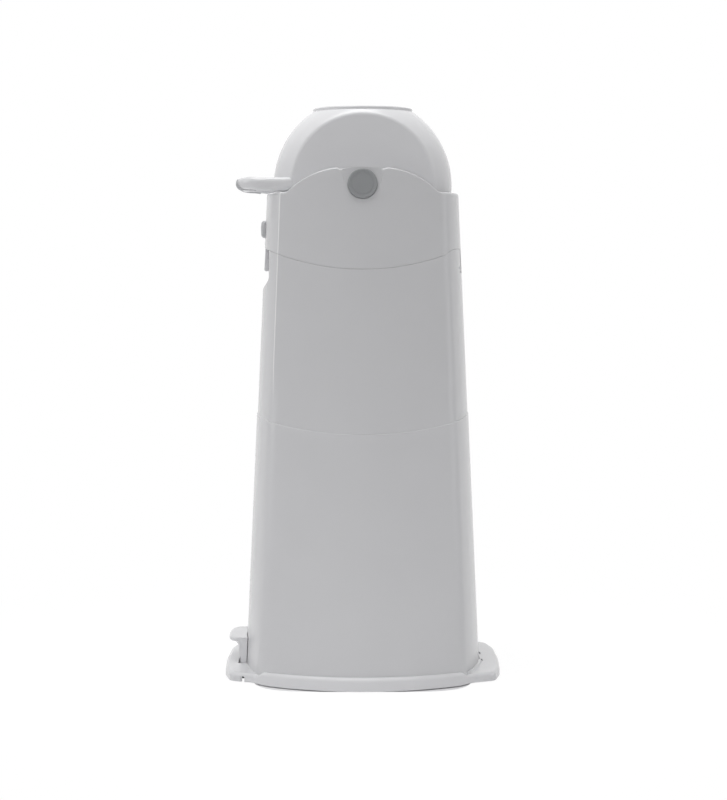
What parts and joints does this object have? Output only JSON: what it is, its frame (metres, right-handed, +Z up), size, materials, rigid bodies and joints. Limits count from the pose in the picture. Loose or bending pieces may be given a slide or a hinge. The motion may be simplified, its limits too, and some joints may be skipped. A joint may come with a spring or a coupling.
{
  "type": "nappy bin",
  "caption": "Tall tapered nappy bin with a hinged hood, a turning ball drum with a bow handle, a loose piston, a push-button latch and a foot pedal on its base plate.",
  "frame": {"origin": "on the floor, under the middle of the bin", "axes": "+Z up, -Y towards the front where the handle, button and pedal are, and the drum turns about an axis along X"},
  "size_m": [0.311, 0.342, 0.7008],
  "materials": {
    "white_gloss": "gloss moulded white plastic",
    "pale_plastic": "satin moulded pale plastic",
    "grey_plastic": "satin moulded grey plastic",
    "dark_plastic": "dark bearing plastic",
    "dark_rubber": "soft dark grey rubber",
    "steel": "drawn steel"
  },
  "bodies": {
    "root": {"base_plate": "white_gloss", "rubber_feet": "dark_rubber", "pedal_pin": "steel", "pedal_spring": "steel", "lower_body": "white_gloss", "middle_body": "white_gloss", "bag_ring": "pale_plastic", "hinge_pin": "steel"},
    "hood": {"hood_shell": "white_gloss", "hood_liner": "pale_plastic", "drum_seal": "dark_rubber", "axle_bushes": "dark_plastic", "liner_screws": "steel", "latch_pin": "steel", "latch_spring": "steel"},
    "latch": {"latch_rocker": "pale_plastic"},
    "button": {"release_button": "grey_plastic"},
    "drum": {"drum_shell_left": "white_gloss", "drum_shell_right": "white_gloss", "bore_tube": "pale_plastic", "rim_ring_top": "pale_plastic", "rim_ring_bottom": "pale_plastic", "axle_cap_left": "grey_plastic", "axle_cap_right": "grey_plastic", "handle": "white_gloss", "handle_grip": "dark_rubber", "handle_screws": "steel"},
    "piston": {"piston_body": "pale_plastic", "piston_cover": "pale_plastic", "piston_seal": "dark_rubber"},
    "pedal": {"pedal": "white_gloss"}
  },
  "joints": [
    {"name": "hood_open", "type": "hinge", "parent": "root", "child": "hood", "pos_m": [0, 0.1175, 0.503], "axis": [-1, 0, 0], "range_deg": [0, 100]},
    {"name": "drum_turn", "type": "hinge", "parent": "hood", "child": "drum", "pos_m": [0, 0, 0.6045], "axis": [-1, 0, 0], "range_deg": [0, 180]},
    {"name": "piston_drop", "type": "slide", "parent": "drum", "child": "piston", "axis": [0, 0, 1], "range_m": [0, 0.114]},
    {"name": "button_press", "type": "slide", "parent": "hood", "child": "button", "axis": [0, 1, 0], "range_m": [0, 0.003], "stiffness_N_per_m": 600, "springref_m": -0.002},
    {"name": "latch_rock", "type": "hinge", "parent": "hood", "child": "latch", "pos_m": [0, -0.1135, 0.535], "axis": [-1, 0, 0], "range_deg": [0, 10.9]},
    {"name": "pedal_press", "type": "hinge", "parent": "root", "child": "pedal", "pos_m": [0, -0.146, 0.0048], "axis": [1, 0, 0], "range_deg": [0, 18], "stiffness_Nm_per_rad": 1.2, "springref_deg": -8.59}
  ],
  "couplings": [
    {"joint": "latch_rock", "follows": "button_press", "rad_per_m": 62.5}
  ]
}
